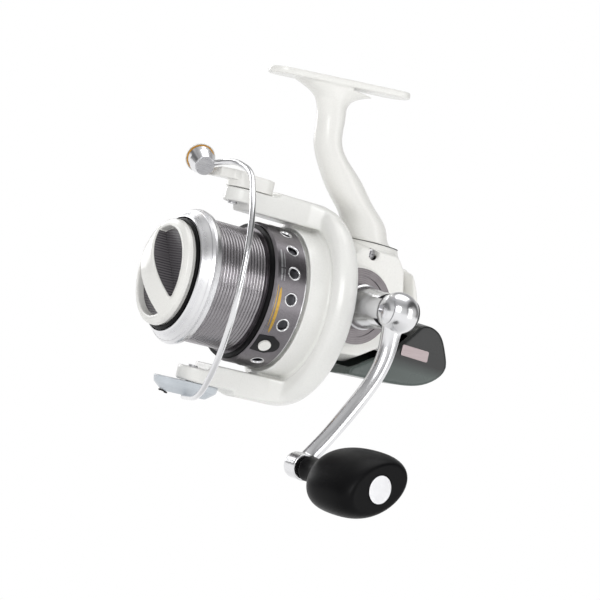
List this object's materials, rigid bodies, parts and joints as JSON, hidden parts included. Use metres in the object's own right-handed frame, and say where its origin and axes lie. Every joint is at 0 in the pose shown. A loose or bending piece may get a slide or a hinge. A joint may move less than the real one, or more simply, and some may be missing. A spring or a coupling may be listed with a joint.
{
  "type": "spinning reel",
  "caption": "Front-drag spinning reel with a tilted foot, long-cast skirted spool, two-armed rotor with wire bail and line roller, and a folding crank with a paddle knob.",
  "frame": {"origin": "centre of the foot's seat, the face that lies against the rod", "axes": "+X towards the reel's nose along the main shaft, +Y towards the crank, +Z towards the rod"},
  "size_m": [0.1603, 0.1663, 0.1944],
  "materials": {
    "pearl_white": "pearl gloss",
    "gunmetal": "satin metallic",
    "dark_gloss": "gloss",
    "label_silver": "satin",
    "pale_silver": "satin metallic",
    "steel": "brushed",
    "polished": "polished",
    "silver": "satin",
    "brass": "machined",
    "iron": "rough",
    "nylon": "matte",
    "black_plastic": "matte",
    "carbon": "woven gloss",
    "amber": "gloss",
    "black_rubber": "satin",
    "felt": "felted"
  },
  "bodies": {
    "frame": {"body": "pearl_white", "side_cover": "pearl_white", "side_ring": "gunmetal", "cover_screws": "steel", "rear_cover": "dark_gloss", "label_plate": "label_silver", "rear_cap": "pearl_white", "crank_bearings": "steel", "pinion_bearing": "steel", "pinion_bush": "brass", "clutch_cage": "black_plastic", "clutch_rollers": "steel", "clutch_retainer": "steel", "left_cap": "gunmetal"},
    "drive": {"drive_gear": "brass", "oscillation_pinion": "brass", "crank_collar": "silver", "knuckle": "polished", "fold_pin": "steel"},
    "oscillation": {"oscillation_gear": "brass"},
    "rotor": {"rotor": "pearl_white", "pinion": "brass", "clutch_sleeve": "steel", "rotor_nut": "steel", "arm_covers": "pearl_white", "arm_cover_screws": "steel", "balance_weight": "iron", "bail_spring": "steel", "spring_guide": "nylon"},
    "shaft": {"main_shaft": "steel", "oscillation_slider": "silver", "spool_seat": "steel"},
    "spool": {"spool": "gunmetal", "spool_lip": "polished", "bed_ring": "black_rubber", "skirt_trim": "silver", "clip_plate": "black_plastic", "drag_felts": "felt", "drag_discs": "steel", "pressure_disc": "steel", "drag_retainer": "steel"},
    "line_clip": {"clip_button": "pearl_white"},
    "drag_knob": {"drag_knob": "pearl_white", "knob_windows": "carbon", "knob_o_ring": "black_rubber", "drag_nut": "brass", "drag_spring": "steel"},
    "bail": {"bail_arm": "pearl_white", "roller_ring": "amber", "roller_bush": "nylon", "wire_cap": "polished", "roller_screw": "steel", "lower_lever": "pale_silver", "bail_wire": "polished", "bail_pins": "steel"},
    "line_roller": {"line_roller": "polished"},
    "crank": {"crank_arm": "polished", "knob_spindle": "steel"},
    "handle_knob": {"crank_knob": "black_rubber", "knob_cap": "silver"}
  },
  "joints": [
    {"name": "handle_turn", "type": "hinge", "parent": "frame", "child": "drive", "pos_m": [-0.0217, 0, -0.1016], "axis": [0, 1, 0], "continuous": true},
    {"name": "rotor_spin", "type": "hinge", "parent": "frame", "child": "rotor", "pos_m": [-0.0217, 0, -0.1073], "axis": [1, 0, 0], "continuous": true},
    {"name": "oscillation_spin", "type": "hinge", "parent": "frame", "child": "oscillation", "pos_m": [-0.0387, 0, -0.09456], "axis": [0, 1, 0], "continuous": true},
    {"name": "spool_slide", "type": "slide", "parent": "frame", "child": "shaft", "axis": [1, 0, 0], "range_m": [0, 0.018]},
    {"name": "spool_slip", "type": "hinge", "parent": "shaft", "child": "spool", "pos_m": [-0.0217, 0, -0.1073], "axis": [1, 0, 0], "continuous": true},
    {"name": "drag_knob_turn", "type": "hinge", "parent": "shaft", "child": "drag_knob", "pos_m": [-0.0217, 0, -0.1073], "axis": [1, 0, 0], "range_deg": [-360, 360]},
    {"name": "line_clip_lift", "type": "slide", "parent": "spool", "child": "line_clip", "axis": [0, 0.7615, -0.6481], "range_m": [0, 0.0008], "stiffness_N_per_m": 400},
    {"name": "bail_flip", "type": "hinge", "parent": "rotor", "child": "bail", "pos_m": [0.0403, 0, -0.1073], "axis": [0, 0, -1], "range_deg": [0, 115]},
    {"name": "roller_spin", "type": "hinge", "parent": "bail", "child": "line_roller", "pos_m": [0.0557, -0.0098, -0.0533], "axis": [0.1198, 0.9089, -0.3995], "continuous": true},
    {"name": "crank_fold", "type": "hinge", "parent": "drive", "child": "crank", "pos_m": [-0.0217, 0.061, -0.1016], "axis": [1, 0, 0], "range_deg": [0, 90]},
    {"name": "knob_spin", "type": "hinge", "parent": "crank", "child": "handle_knob", "pos_m": [0.014, 0.069, -0.1762], "axis": [-0.1736, 0.9848, 0], "continuous": true}
  ],
  "couplings": [
    {"joint": "rotor_spin", "follows": "handle_turn", "ratio": -4},
    {"joint": "oscillation_spin", "follows": "handle_turn", "ratio": -0.4375}
  ]
}
